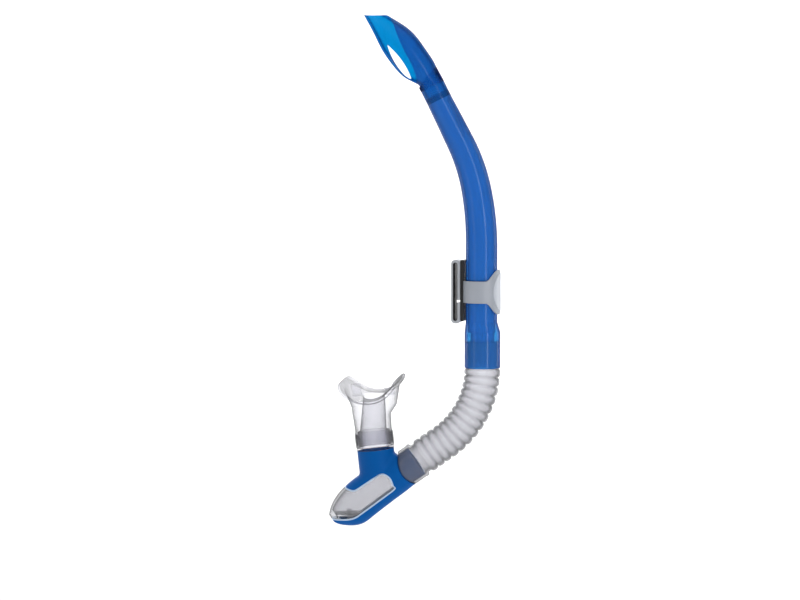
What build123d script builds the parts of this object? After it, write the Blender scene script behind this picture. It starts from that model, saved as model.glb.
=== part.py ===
from build123d import *
import os
from math import cos, degrees, hypot, radians, sin

os.makedirs("parts", exist_ok=True)

# Frame: origin on the axis of the barrel's straight stretch, level with the middle of the keeper.
# +Z runs up the barrel, -X points to the mouthpiece, and Y is the depth. Millimetres.

# ---- driving dimensions ----
WALL = 1.6                    # blue plastic walls
THROUGH = 25.0                # half length of a cut that goes right through
FIT = 0.05                    # radial clearance of a running fit

BARREL_R = 12.7               # straight stretch of the barrel
BORE_R = BARREL_R - WALL
TOP_RX, TOP_RY = 10.1, 12.0   # half thickness and half depth at the oval top
BEND_Z = 37.2                 # where the straight stretch ends
LOWER_BEND_R, LOWER_BEND_DEG = 235.0, 10.8
UPPER_BEND_R, LEAN_DEG = 147.0, 26.6
TOP_RUN = 37.4                # leaning stretch above the bend
GUARD_SPIGOT = 5.0            # the barrel's spigot in the splash guard

HOSE_X = 0.8                  # the hose stands this far off the barrel's axis
BELL_R = 14.4
BELL_START_Z, BELL_Z, SEAM_Z, COLLAR_Z = -24.5, -32.5, -40.4, -61.2
SPIGOT_R, SPIGOT_BORE_R = 11.2, 9.6
SPIGOT_END_Z = -57.0

HOSE_BEND_R, HOSE_BEND_DEG = 72.8, 55.0
HOSE_RUN = 35.4               # straight stretch of the hose after its bend
HOSE_R, HOSE_BORE_R = 12.9, 10.4
RING_R, RING_HALF_W, RING_ROUND, RING_COUNT = 14.4, 1.7, 1.2, 14
FIRST_RING = 2.4              # middle of the first ring, below the collar
CUFF_R, CUFF_LENGTH = 15.0, 11.5
CHAMBER_SPIGOT_R, CHAMBER_SPIGOT_LENGTH = 12.6, 8.6
HOSE_GAP = 0.2                # between the flexing cuff and the chamber
SPIGOT_CLEARANCE = 1.5        # room beyond the spigot's end
SCALLOP_ALONG, SCALLOP_RISE, SCALLOP_R = -14.6, -2.3, 21.0    # curved seam between cuff and chamber
SCALLOP_REACH = 8.0           # the spigot runs this far into the chamber, behind the seam

NECK_X, NECK_Z, NECK_LEAN = -84.8, -126.8, 6.0
NECK_R, NECK_BORE_R = 14.8, 12.4
NECK_DEPTH, NECK_FILLET = 24.0, 4.0
COVER_WALL = 2.2
SEAL_W = 1.2                  # pale seal round the clear windows

KEEPER_YAW = -10.0            # the keeper is turned a little on the barrel
SLEEVE_R = 13.45
BAND_R, BAND_HALF_H, WING_HALF_H = 14.9, 8.8, 18.2


def across(x, z, lean, shift=0.0):
    """Plane square to a tube that leans by lean degrees towards -X at (x, z); its x direction is in XZ."""
    a = radians(lean)
    origin = (x + shift * cos(a), 0, z + shift * sin(a))
    return Plane(origin=origin, x_dir=(cos(a), 0, sin(a)), z_dir=(-sin(a), 0, cos(a)))


LOWER_ARC = LOWER_BEND_R * radians(LOWER_BEND_DEG)
UPPER_ARC = UPPER_BEND_R * radians(LEAN_DEG - LOWER_BEND_DEG)
BARREL_RUN = LOWER_ARC + UPPER_ARC + TOP_RUN
BARREL_STEPS = 12


def barrel_station(run):
    """Plane across the barrel, run mm along its centreline from the foot of its bend."""
    low = min(run, LOWER_ARC) / LOWER_BEND_R
    x, z = -LOWER_BEND_R * (1 - cos(low)), BEND_Z + LOWER_BEND_R * sin(low)
    high = low + min(max(run - LOWER_ARC, 0), UPPER_ARC) / UPPER_BEND_R
    x -= UPPER_BEND_R * (cos(low) - cos(high))
    z += UPPER_BEND_R * (sin(high) - sin(low))
    beyond = max(run - LOWER_ARC - UPPER_ARC, 0)
    return across(x - beyond * sin(high), z + beyond * cos(high), degrees(high))


BARREL_TOP = barrel_station(BARREL_RUN)


def oval(plane, half_x, half_y):
    """Ellipse on a plane, or a circle where both halves are equal."""
    with BuildSketch(plane) as outline:
        if half_x == half_y:
            Circle(half_x)
        else:
            Ellipse(half_x, half_y)
    return outline.sketch


def bend_sections(inset):
    """Outlines of the barrel's skin, or of its bore with an inset, from the foot of its bend to its top."""
    outlines = []
    for step in range(BARREL_STEPS + 1):
        share = step / BARREL_STEPS
        taper = share**1.3
        half_x = BARREL_R + (TOP_RX - BARREL_R) * taper - inset
        half_y = BARREL_R + (TOP_RY - BARREL_R) * taper - inset
        outlines.append(oval(barrel_station(BARREL_RUN * share), half_x, half_y))
    return outlines


# ---- barrel ----
with BuildPart() as barrel_bore:
    loft(bend_sections(WALL))
    with BuildSketch(Plane.XY.offset(BELL_Z)):
        Circle(BORE_R)
    extrude(amount=BEND_Z - BELL_Z)

with BuildPart() as barrel:
    loft(bend_sections(0))
    with BuildSketch(Plane.XY.offset(BELL_START_Z)):
        Circle(BARREL_R)
    extrude(amount=BEND_Z - BELL_START_Z)
    with BuildSketch(Plane.XY.offset(BELL_START_Z)):
        Circle(BARREL_R)
    with BuildSketch(Plane.XY.offset(BELL_Z)):
        with Locations((HOSE_X, 0)):
            Circle(BELL_R)
    loft()
    with BuildSketch(Plane.XY.offset(SEAM_Z)):
        with Locations((HOSE_X, 0)):
            Circle(BELL_R)
    extrude(amount=BELL_Z - SEAM_Z)
    with BuildSketch(Plane.XY.offset(SPIGOT_END_Z)):
        with Locations((HOSE_X, 0)):
            Circle(SPIGOT_R)
    extrude(amount=SEAM_Z - SPIGOT_END_Z)
    add(barrel_bore.part, mode=Mode.SUBTRACT)
    with BuildSketch(Plane.XY.offset(SPIGOT_END_Z)):
        with Locations((HOSE_X, 0)):
            Circle(SPIGOT_BORE_R)
    extrude(amount=BELL_Z - SPIGOT_END_Z + 1, mode=Mode.SUBTRACT)
    # spigot that enters the splash guard
    with BuildSketch(BARREL_TOP):
        Ellipse(TOP_RX - WALL / 2, TOP_RY - WALL / 2)
        Ellipse(TOP_RX - WALL, TOP_RY - WALL, mode=Mode.SUBTRACT)
    extrude(amount=GUARD_SPIGOT)
barrel.part.label = "barrel"
export_step(barrel.part, "parts/barrel.step")

# ---- splash guard ----
# Hood sections: x, z, lean, half thickness, half depth.
HOOD = (
    (-39.7, 164.6, 26.6, 10.3, 12.25),
    (-46.7, 173.8, 28.0, 11.8, 13.6),
    (-53.2, 181.0, 30.5, 14.0, 14.6),
    (-59.8, 189.6, 33.5, 14.5, 14.6),
    (-65.9, 197.6, 36.0, 14.2, 14.2),
    (-72.4, 205.2, 37.5, 12.3, 13.0),
    (-78.6, 211.9, 38.0, 9.6, 11.0),
    (-85.4, 218.6, 38.0, 6.7, 8.6),
    (-93.0, 226.0, 38.0, 3.9, 6.0),
)
HOOD_TOP_Z = 220.4
SLEEVE_LENGTH = 14.0          # plain stretch that the barrel's spigot enters
MOUTH_START_Y = 1.2           # the hood is open on the near side of this depth


def hood_sections(inset):
    """Outlines of the hood's skin, or of its hollow with an inset."""
    return [oval(across(x, z, lean), half_x - inset, half_y - inset) for x, z, lean, half_x, half_y in HOOD]


with BuildPart() as hood_hollow:
    loft(hood_sections(WALL))

with BuildPart() as splash_guard:
    loft(hood_sections(0))
    with BuildSketch(BARREL_TOP):
        Ellipse(TOP_RX, TOP_RY)
    extrude(amount=SLEEVE_LENGTH)
    add(hood_hollow.part, mode=Mode.SUBTRACT)
    with BuildSketch(BARREL_TOP):
        Ellipse(TOP_RX - WALL / 2, TOP_RY - WALL / 2)
    extrude(amount=GUARD_SPIGOT, mode=Mode.SUBTRACT)
    with BuildSketch(BARREL_TOP):
        Ellipse(TOP_RX - WALL, TOP_RY - WALL)
    extrude(amount=SLEEVE_LENGTH, mode=Mode.SUBTRACT)
    split(bisect_by=Plane.XY.offset(HOOD_TOP_Z), keep=Keep.BOTTOM)    # flat top
    # the near side is open from a curved edge to the hood's left limb
    with BuildSketch(Plane.XZ.offset(MOUTH_START_Y)):
        with BuildLine():
            mouth_edge = Spline((-74.5, 223), (-70, 212.4), (-63, 195), (-55, 179.6), (-51.6, 163.6))
            Polyline(mouth_edge @ 1, (-56, 160), (-110, 190), (-110, 223), mouth_edge @ 0)
        make_face()
    extrude(amount=THROUGH, mode=Mode.SUBTRACT)
    # lens-shaped drain slot through the far side
    with BuildSketch(Plane.XZ):
        with BuildLine():
            slot_right = ThreePointArc((-75.6, 196.8), (-65.0, 185.6), (-56.4, 170.0))
            slot_left = ThreePointArc((-75.6, 196.8), (-69.3, 182.4), (-58.6, 169.8))
            Line(slot_left @ 1, slot_right @ 1)
        make_face()
    extrude(amount=-THROUGH, mode=Mode.SUBTRACT)
splash_guard.part.label = "splash_guard"
export_step(splash_guard.part, "parts/splash_guard.step")

# ---- hose collar ----
HOSE_TOP = Plane.XY.offset(COLLAR_Z)
COLLAR_EDGE = 1.0

with BuildPart() as hose_collar:
    with BuildSketch(HOSE_TOP):
        with Locations((HOSE_X, 0)):
            Circle(BELL_R)
            Circle(HOSE_R, mode=Mode.SUBTRACT)
    extrude(amount=SEAM_Z - COLLAR_Z)
    fillet(hose_collar.edges().group_by(Axis.Z)[0].sort_by(SortBy.LENGTH)[-1], COLLAR_EDGE)
hose_collar.part.label = "hose_collar"
export_step(hose_collar.part, "parts/hose_collar.step")

# ---- chamber frame, and the curved seam between the hose's cuff and the chamber ----
# Chamber frame: along runs from the hose's end to the nose, and rise is square to it, up and left.
CHAMBER_X, CHAMBER_Z, CHAMBER_DEG = -59.2, -141.2, 36.87
C_COS, C_SIN = cos(radians(CHAMBER_DEG)), sin(radians(CHAMBER_DEG))
ALONG = Vector(-C_COS, 0, -C_SIN)
RISE = Vector(-C_SIN, 0, C_COS)


def chamber_point(along, rise):
    """Point on the chamber's middle plane from its own two distances."""
    return Vector(CHAMBER_X, 0, CHAMBER_Z) + ALONG * along + RISE * rise


CHAMBER_SIDE = Plane(origin=chamber_point(0, 0), x_dir=ALONG, z_dir=(0, 1, 0))

with BuildPart() as scallop:
    with BuildSketch(CHAMBER_SIDE.offset(-THROUGH)):
        with Locations((SCALLOP_ALONG, SCALLOP_RISE)):
            Circle(SCALLOP_R)
    extrude(amount=2 * THROUGH)

with BuildPart() as cuff_scallop:
    with BuildSketch(CHAMBER_SIDE.offset(-THROUGH)):
        with Locations((SCALLOP_ALONG, SCALLOP_RISE)):
            Circle(SCALLOP_R - HOSE_GAP)
    extrude(amount=2 * THROUGH)

# ---- corrugated hose ----
HOSE_ARC = HOSE_BEND_R * radians(HOSE_BEND_DEG)
HOSE_LENGTH = HOSE_ARC + HOSE_RUN


def hose_plane(run):
    """Plane across the hose, run mm below the collar along its centreline, facing along the hose."""
    turned = min(run / HOSE_BEND_R, radians(HOSE_BEND_DEG))
    beyond = max(run - HOSE_ARC, 0)
    x = HOSE_X - HOSE_BEND_R * (1 - cos(turned)) - beyond * sin(turned)
    z = COLLAR_Z - HOSE_BEND_R * sin(turned) - beyond * cos(turned)
    return Plane(origin=(x, 0, z), x_dir=(0, 1, 0), z_dir=(-sin(turned), 0, -cos(turned)))


HOSE_END = hose_plane(HOSE_LENGTH)
RING_PITCH = (HOSE_LENGTH - CUFF_LENGTH - FIRST_RING) / RING_COUNT

with BuildLine() as hose_path:
    hose_bend = ThreePointArc(
        hose_plane(0).origin, hose_plane(HOSE_ARC / 2).origin, hose_plane(HOSE_ARC).origin
    )
    Line(hose_bend @ 1, HOSE_END.origin)

with BuildPart() as cuff_lip:
    with BuildSketch(hose_plane(HOSE_LENGTH - 2)):
        Circle(CUFF_R)
    extrude(amount=SCALLOP_REACH)
    add(cuff_scallop.part, mode=Mode.INTERSECT)

with BuildPart() as flex_hose:
    with BuildSketch(hose_plane(0)):
        Circle(HOSE_R)
    sweep(path=hose_path.wires()[0])
    for ring in range(RING_COUNT):
        with BuildSketch(hose_plane(FIRST_RING + RING_PITCH * ring)):
            Circle(RING_R)
        extrude(amount=RING_HALF_W, both=True)
    round_edges = flex_hose.edges().filter_by(GeomType.CIRCLE)
    fillet(round_edges.filter_by(lambda rim: rim.radius > RING_R - FIT), RING_ROUND)
    # top cuff over the barrel's spigot, inside the collar
    with BuildSketch(HOSE_TOP):
        with Locations((HOSE_X, 0)):
            Circle(HOSE_R)
    extrude(amount=SEAM_Z - COLLAR_Z)
    # bottom cuff over the chamber's spigot, with a lip that fills the curved seam
    with BuildSketch(hose_plane(HOSE_LENGTH - CUFF_LENGTH)):
        Circle(CUFF_R)
    extrude(amount=CUFF_LENGTH - HOSE_GAP)
    add(cuff_lip.part)
    with BuildSketch(hose_plane(0)):
        Circle(HOSE_BORE_R)
    sweep(path=hose_path.wires()[0], mode=Mode.SUBTRACT)
    with BuildSketch(HOSE_TOP):
        with Locations((HOSE_X, 0)):
            Circle(SPIGOT_R)
    extrude(amount=SEAM_Z - COLLAR_Z, mode=Mode.SUBTRACT)
    with BuildSketch(hose_plane(HOSE_LENGTH - CHAMBER_SPIGOT_LENGTH - SPIGOT_CLEARANCE)):
        Circle(CHAMBER_SPIGOT_R + HOSE_GAP)
    extrude(amount=CHAMBER_SPIGOT_LENGTH + SPIGOT_CLEARANCE + SCALLOP_REACH, mode=Mode.SUBTRACT)
flex_hose.part.label = "flex_hose"
export_step(flex_hose.part, "parts/flex_hose.step")

# ---- keeper, turned on the barrel ----
YAW = radians(KEEPER_YAW)
KEEPER = Plane(origin=(0, 0, 0), x_dir=(cos(YAW), sin(YAW), 0), z_dir=(0, 0, 1))
KEEPER_SIDE = Plane(origin=(0, 0, 0), x_dir=(cos(YAW), sin(YAW), 0), z_dir=(sin(YAW), -cos(YAW), 0))
KEEPER_BACK = Plane(origin=(0, 0, 0), x_dir=(-sin(YAW), cos(YAW), 0), z_dir=(cos(YAW), sin(YAW), 0))
BAND_BORE_R = SLEEVE_R + FIT
PAD_EDGE = 0.3


def rim_at(edge, radius):
    """Whether an edge runs round the barrel's axis at a radius. A skin's straight seam does not."""
    points = (edge.position_at(share / 4) for share in range(5))
    on_skin = all(abs(hypot(point.X, point.Y) - radius) < FIT / 2 for point in points)
    return on_skin and edge.geom_type != GeomType.LINE


with BuildPart() as keeper_sleeve:
    with BuildSketch(KEEPER.offset(-BAND_HALF_H)):
        Circle(SLEEVE_R)
        Circle(BARREL_R + FIT, mode=Mode.SUBTRACT)
    extrude(amount=2 * BAND_HALF_H)
keeper_sleeve.part.label = "keeper_sleeve"
export_step(keeper_sleeve.part, "parts/keeper_sleeve.step")

WING_START_X, WING_MIDDLE, WING_END_X = 6.0, (9.5, 11.5), 15.6
PAD_RY, PAD_RZ = 9.6, 15.6
PAD_R = 15.5

with BuildPart() as keeper_band:
    with BuildSketch(KEEPER.offset(-WING_HALF_H)):
        Circle(BAND_R)
        Circle(BAND_BORE_R, mode=Mode.SUBTRACT)
    extrude(amount=2 * WING_HALF_H)
    with BuildSketch(KEEPER_SIDE):
        with BuildLine():
            start = Line((-THROUGH, 0), (-THROUGH, BAND_HALF_H))
            edge = Line(start @ 1, (WING_START_X, BAND_HALF_H))
            flare = Spline(edge @ 1, WING_MIDDLE, (WING_END_X, WING_HALF_H), tangents=((1, 0), (1, 0.3)))
            Polyline(flare @ 1, (WING_END_X, 0), start @ 0)
        make_face()
        mirror(about=Plane.XZ)
    extrude(amount=THROUGH, both=True, mode=Mode.INTERSECT)
keeper_band.part.label = "keeper_band"
export_step(keeper_band.part, "parts/keeper_band.step")

with BuildPart() as keeper_pad:
    with BuildSketch(KEEPER.offset(-PAD_RZ)):
        Circle(PAD_R)
        Circle(BAND_R, mode=Mode.SUBTRACT)
    extrude(amount=2 * PAD_RZ)
    with BuildSketch(KEEPER_BACK.offset(8)):
        Ellipse(PAD_RY, PAD_RZ)
    extrude(amount=10, mode=Mode.INTERSECT)
    fillet(keeper_pad.edges().filter_by(lambda rim: rim_at(rim, PAD_R)), PAD_EDGE)
keeper_pad.part.label = "keeper_pad"
export_step(keeper_pad.part, "parts/keeper_pad.step")

# The buckle is a tall loop left of the band, open to its inner side at a narrow gap.
BUCKLE_X0, BUCKLE_X1 = -23.6, -16.3
BUCKLE_Z0, BUCKLE_Z1 = -25.4, 25.6
BUCKLE_HALF_Y, BUCKLE_ROUND, BUCKLE_END = 7.0, 3.2, 2.2
SLOT_X0, SLOT_X1, SLOT_ROUND = -22.0, -18.4, 1.7
GAP_Z0, GAP_Z1 = -8.4, -6.6
BUCKLE_EDGE = 0.5

with BuildPart() as strap_buckle:
    with BuildSketch(KEEPER_SIDE):
        with Locations(((BUCKLE_X0 + BUCKLE_X1) / 2, (BUCKLE_Z0 + BUCKLE_Z1) / 2)):
            RectangleRounded(BUCKLE_X1 - BUCKLE_X0, BUCKLE_Z1 - BUCKLE_Z0, BUCKLE_ROUND)
        with Locations(((SLOT_X0 + SLOT_X1) / 2, (BUCKLE_Z0 + BUCKLE_Z1) / 2)):
            slot_height = BUCKLE_Z1 - BUCKLE_Z0 - 2 * BUCKLE_END
            RectangleRounded(SLOT_X1 - SLOT_X0, slot_height, SLOT_ROUND, mode=Mode.SUBTRACT)
        with Locations(((SLOT_X1 + BUCKLE_X1) / 2, (GAP_Z0 + GAP_Z1) / 2)):
            Rectangle(2 * (BUCKLE_X1 - SLOT_X1), GAP_Z1 - GAP_Z0, mode=Mode.SUBTRACT)
    extrude(amount=BUCKLE_HALF_Y, both=True)
    near_side = Axis((0, 0, 0), KEEPER_SIDE.z_dir)
    fillet(strap_buckle.edges().group_by(near_side)[-1], BUCKLE_EDGE)
strap_buckle.part.label = "strap_buckle"
export_step(strap_buckle.part, "parts/strap_buckle.step")

BODY_X0, BODY_X1 = BUCKLE_X1, -13.3
BODY_Z0, BODY_Z1 = -23.6, 25.4
BODY_HALF_Y = 5.6

with BuildPart() as buckle_body:
    with BuildSketch(KEEPER_SIDE):
        with Locations(((BODY_X0 + BODY_X1) / 2, (BODY_Z0 + BODY_Z1) / 2)):
            RectangleRounded(BODY_X1 - BODY_X0, BODY_Z1 - BODY_Z0, 1.2)
    extrude(amount=BODY_HALF_Y, both=True)
    with BuildSketch(KEEPER.offset(-BAND_HALF_H)):
        Circle(BAND_R)
    extrude(amount=2 * BAND_HALF_H, mode=Mode.SUBTRACT)
    with BuildSketch(KEEPER.offset(BODY_Z0 - 1)):
        Circle(SLEEVE_R)
    extrude(amount=BODY_Z1 - BODY_Z0 + 2, mode=Mode.SUBTRACT)
buckle_body.part.label = "buckle_body"
export_step(buckle_body.part, "parts/buckle_body.step")

# ---- lower chamber ----
NECK = across(NECK_X, NECK_Z, NECK_LEAN)

# Chamber sections: along, lowest rise, highest rise, half depth, corner radius.
CHAMBER = (
    (1.0, -14.6, 14.9, 14.8, 13.4),
    (10.0, -14.5, 15.4, 15.0, 12.8),
    (19.0, -14.5, 16.4, 15.2, 12.2),
    (28.0, -14.5, 17.5, 15.4, 11.8),
    (37.0, -14.6, 18.0, 15.4, 11.6),
    (46.0, -14.9, 17.8, 15.2, 11.4),
    (55.0, -14.7, 16.6, 14.4, 11.2),
    (62.5, -11.6, 14.4, 12.8, 10.4),
    (68.5, -6.8, 11.2, 10.2, 8.2),
    (73.0, -0.8, 7.4, 6.8, 3.8),
)


def chamber_sections(inset, sections):
    """Outlines of the chamber's skin, or of its hollow with an inset."""
    outlines = []
    for along, low, high, half_depth, corner in sections:
        origin = chamber_point(along, (low + high) / 2)
        with BuildSketch(Plane(origin=origin, x_dir=RISE, z_dir=ALONG)) as outline:
            RectangleRounded(high - low - 2 * inset, 2 * (half_depth - inset), corner - inset)
        outlines.append(outline.sketch)
    return outlines


# The hollow leaves out the first section, where the spigot's root fills the chamber, and the nose's tip.
HOLLOW_SECTIONS = CHAMBER[1:-1]
HOLLOW_START = HOLLOW_SECTIONS[0][0]

with BuildPart() as chamber_hollow:
    loft(chamber_sections(COVER_WALL, HOLLOW_SECTIONS))

with BuildPart() as chamber_solid:
    loft(chamber_sections(0, CHAMBER))


def window(i):
    """Outline of the clear windows and nose on the chamber's side, drawn in by i mm."""
    with BuildSketch(CHAMBER_SIDE.offset(-THROUGH)) as outline:
        with BuildLine():
            low = Line((22, i - 7.8), (54, i - 7.6))
            sole = Spline(
                low @ 1,
                (61.8 - 0.3 * i, i - 5.6),
                (69 - 0.7 * i, 0.8 * i - 0.9),
                (82 - 0.8 * i, 10 + 0.7 * i),
                tangents=((1, 0), (1, 0.9)),
            )
            high = Line((22, 10.3 - i), (40.5, 11.2 - i))
            nib = Spline(
                high @ 1,
                (44.8 + 0.4 * i, 12.2 - 0.9 * i),
                (47 + i, 14.6 - 0.3 * i),
                (49.6 + i, 26),
                tangents=((1, 0.05), (0.12, 1)),
            )
            Polyline(sole @ 1, (82 - 0.8 * i, 26), nib @ 1)
            Spline(
                high @ 0,
                (15.9 + 0.7 * i, 6.4 - 0.5 * i),
                (14.9 + i, 0.6),
                (16.3 + 0.8 * i, 0.5 * i - 5),
                low @ 0,
                tangents=((-1, -0.05), (1, 0)),
            )
        make_face()
    return outline.sketch


with BuildPart() as window_region:
    extrude(window(0), amount=2 * THROUGH)

with BuildPart() as cover_region:
    extrude(window(SEAL_W), amount=2 * THROUGH)

# The skin of the neck joins along a line, which faces +Y here, away from the fillet at the neck's foot.
NECK_FOOT = Plane(origin=NECK.offset(-NECK_DEPTH).origin, x_dir=(0, 1, 0), z_dir=NECK.z_dir)
SPIGOT_START = HOSE_END.offset(-CHAMBER_SPIGOT_LENGTH)

with BuildPart() as seam_cut:
    add(scallop.part)
    with BuildSketch(HOSE_END.offset(-2 * THROUGH)):
        Circle(CHAMBER_SPIGOT_R)
    extrude(amount=4 * THROUGH, mode=Mode.SUBTRACT)

with BuildPart() as chamber_shell:
    add(chamber_solid.part)
    with BuildSketch(NECK_FOOT):
        Circle(NECK_R)
    extrude(amount=NECK_DEPTH)
    neck_skin = chamber_shell.faces().filter_by(GeomType.CYLINDER).sort_by(SortBy.AREA)[-1]
    fillet(neck_skin.edges().filter_by(GeomType.BSPLINE), NECK_FILLET)
    add(seam_cut.part, mode=Mode.SUBTRACT)
    with BuildSketch(SPIGOT_START):
        Circle(CHAMBER_SPIGOT_R)
    extrude(amount=CHAMBER_SPIGOT_LENGTH + SCALLOP_REACH)
    add(chamber_hollow.part, mode=Mode.SUBTRACT)
    with BuildSketch(NECK_FOOT):
        Circle(NECK_BORE_R)
    extrude(amount=NECK_DEPTH + 1, mode=Mode.SUBTRACT)
    with BuildSketch(SPIGOT_START):
        Circle(CHAMBER_SPIGOT_R - COVER_WALL)
    extrude(amount=CHAMBER_SPIGOT_LENGTH + HOLLOW_START + 2, mode=Mode.SUBTRACT)
    add(window_region.part, mode=Mode.SUBTRACT)
chamber_shell.part.label = "chamber_shell"
export_step(chamber_shell.part, "parts/chamber_shell.step")

# ---- clear cover over the chamber's nose, and the seal round its windows ----
OUTLET_X, OUTLET_Z, OUTLET_LENGTH, OUTLET_HEIGHT = -111.2, -181.2, 8.8, 2.4

with BuildPart() as purge_cover:
    add(chamber_solid.part)
    add(cover_region.part, mode=Mode.INTERSECT)
    add(chamber_hollow.part, mode=Mode.SUBTRACT)
    with BuildSketch(Plane.XZ):
        with Locations((OUTLET_X, OUTLET_Z)):
            SlotOverall(OUTLET_LENGTH, OUTLET_HEIGHT)
    extrude(amount=THROUGH, both=True, mode=Mode.SUBTRACT)
purge_cover.part.label = "purge_cover"
export_step(purge_cover.part, "parts/purge_cover.step")

with BuildPart() as cover_seal:
    add(chamber_solid.part)
    add(window_region.part, mode=Mode.INTERSECT)
    add(chamber_hollow.part, mode=Mode.SUBTRACT)
    add(cover_region.part, mode=Mode.SUBTRACT)
cover_seal.part.label = "cover_seal"
export_step(cover_seal.part, "parts/cover_seal.step")

# ---- purge valve, flat over the outlets in the nose, opening downwards ----
VALVE_X, SEAT_Z, SEAT_THICK = -106.0, -178.9, 1.2
VALVE_R, VALVE_THICK, VALVE_GAP = 7.6, 0.7, 0.02
STEM_R, STEM_HOLE_R, STEM_LENGTH, STEM_HEAD_R = 1.6, 1.68, 3.4, 2.3
PORT_R, PORT_COUNT, PORT_CIRCLE_R = 1.6, 6, 4.8

SEAT = Plane(origin=(VALVE_X, 0, SEAT_Z), x_dir=(1, 0, 0), z_dir=(0, 0, -1))

with BuildPart() as purge_seat:
    add(chamber_hollow.part)
    with BuildSketch(SEAT):
        Rectangle(2 * THROUGH, 2 * THROUGH)
    extrude(amount=-SEAT_THICK, mode=Mode.INTERSECT)
    with BuildSketch(SEAT):
        Circle(STEM_HOLE_R)
        with PolarLocations(PORT_CIRCLE_R, PORT_COUNT):
            Circle(PORT_R)
    extrude(amount=-SEAT_THICK, mode=Mode.SUBTRACT)
purge_seat.part.label = "purge_seat"
export_step(purge_seat.part, "parts/purge_seat.step")

with BuildPart() as purge_membrane:
    with BuildSketch(SEAT.offset(VALVE_GAP)):
        Circle(VALVE_R)
    extrude(amount=VALVE_THICK)
    with BuildSketch(SEAT.offset(VALVE_GAP)):
        Circle(STEM_R)
    extrude(amount=-STEM_LENGTH)
    # head that keeps the stem in its hole, clear of the seat by the valve's lift
    with BuildSketch(SEAT.offset(VALVE_GAP - STEM_LENGTH)):
        Circle(STEM_HEAD_R)
    extrude(amount=-0.8, taper=20)
purge_membrane.part.label = "purge_membrane"
export_step(purge_membrane.part, "parts/purge_membrane.step")

# ---- mouthpiece on its turning adapter ----
ADAPTER_BORE_R, ADAPTER_RIM_R, ADAPTER_RIM_H = 10.6, 14.9, 2.0
ADAPTER_TOP_R, ADAPTER_TOP_H, ADAPTER_FOOT_H = 12.9, 13.0, 9.0
NECK_GAP = 0.3
ADAPTER_END = NECK_GAP + ADAPTER_RIM_H + ADAPTER_TOP_H

with BuildPart() as mouthpiece_adapter:
    with BuildSketch(NECK.offset(-ADAPTER_FOOT_H)):
        Circle(NECK_BORE_R - FIT)
    extrude(amount=ADAPTER_FOOT_H + NECK_GAP)
    with BuildSketch(NECK.offset(NECK_GAP)):
        Circle(ADAPTER_RIM_R)
    extrude(amount=ADAPTER_RIM_H)
    with BuildSketch(NECK.offset(NECK_GAP + ADAPTER_RIM_H)):
        Circle(ADAPTER_TOP_R)
    extrude(amount=ADAPTER_TOP_H)
    with BuildSketch(NECK.offset(-ADAPTER_FOOT_H)):
        Circle(ADAPTER_BORE_R)
    extrude(amount=ADAPTER_FOOT_H + ADAPTER_END, mode=Mode.SUBTRACT)
mouthpiece_adapter.part.label = "mouthpiece_adapter"
export_step(mouthpiece_adapter.part, "parts/mouthpiece_adapter.step")

CUFF_START = NECK_GAP + ADAPTER_RIM_H
CLAMP_START, CLAMP_H, CLAMP_R = 4.6, 8.6, 15.5
CLAMP_GROOVES, GROOVE_DEPTH, GROOVE_W = (2.2, 4.3, 6.4), 0.4, 0.6
CUFF_SKIN_R, CUFF_H = 14.7, 12.3

MOUTH_YAW = -16.0             # the mouthpiece is turned a little on its adapter
FLANGE_UP = 42.4              # flange's middle, above the chamber along the neck
FLANGE_TILT = 13.0            # the flange faces a little towards the near side
FLANGE_HALF_W, FLANGE_HALF_D, FLANGE_CORNER = 26.4, 17.0, 15.5
FLANGE_BEND_R, FLANGE_THICK = 35.0, 1.8
TAB_IN, TAB_OUT, TAB_HALF_D, TAB_TOP, TAB_ROUND = 10.0, 18.6, 2.2, 14.2, 1.8
AIRWAY_HALF_W, AIRWAY_HALF_D = 8.8, 6.6

TILT, TURN = radians(FLANGE_TILT), radians(MOUTH_YAW)
MOUTH_NECK = NECK.rotated((0, 0, MOUTH_YAW))
FLANGE_ORIGIN = NECK.offset(FLANGE_UP).origin + Vector(1, 0, 0)
FLANGE_WAY = Vector(cos(TURN), sin(TURN), 0)
FLANGE_DEPTH = Vector(-sin(TURN), cos(TURN), 0)
FLANGE_FACING = Vector(0, 0, cos(TILT)) - FLANGE_DEPTH * sin(TILT)
FLANGE = Plane(origin=FLANGE_ORIGIN, x_dir=FLANGE_WAY, z_dir=FLANGE_FACING)
FLANGE_SIDE = Plane(origin=FLANGE_ORIGIN, x_dir=FLANGE_WAY, z_dir=-FLANGE.y_dir)

with BuildPart() as flange:
    with BuildSketch(FLANGE_SIDE):
        with Locations((0, FLANGE_BEND_R)):
            Circle(FLANGE_BEND_R)
            Circle(FLANGE_BEND_R - FLANGE_THICK, mode=Mode.SUBTRACT)
        with Locations((0, FLANGE_BEND_R * 2)):
            Rectangle(FLANGE_BEND_R * 4, FLANGE_BEND_R * 2, mode=Mode.SUBTRACT)
    extrude(amount=FLANGE_HALF_D + 1, both=True)
    with BuildSketch(FLANGE):
        RectangleRounded(2 * FLANGE_HALF_W, 2 * FLANGE_HALF_D, FLANGE_CORNER)
    extrude(amount=FLANGE_BEND_R, mode=Mode.INTERSECT)

with BuildPart() as airway:
    loft(
        [
            oval(MOUTH_NECK.offset(CUFF_START + CUFF_H - 0.3), ADAPTER_BORE_R, ADAPTER_BORE_R),
            oval(MOUTH_NECK.offset(26), 12.6, 9.6),
            oval(FLANGE.offset(-2), 11.0, 7.6),
            oval(FLANGE.offset(6), AIRWAY_HALF_W, AIRWAY_HALF_D),
        ]
    )

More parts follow.
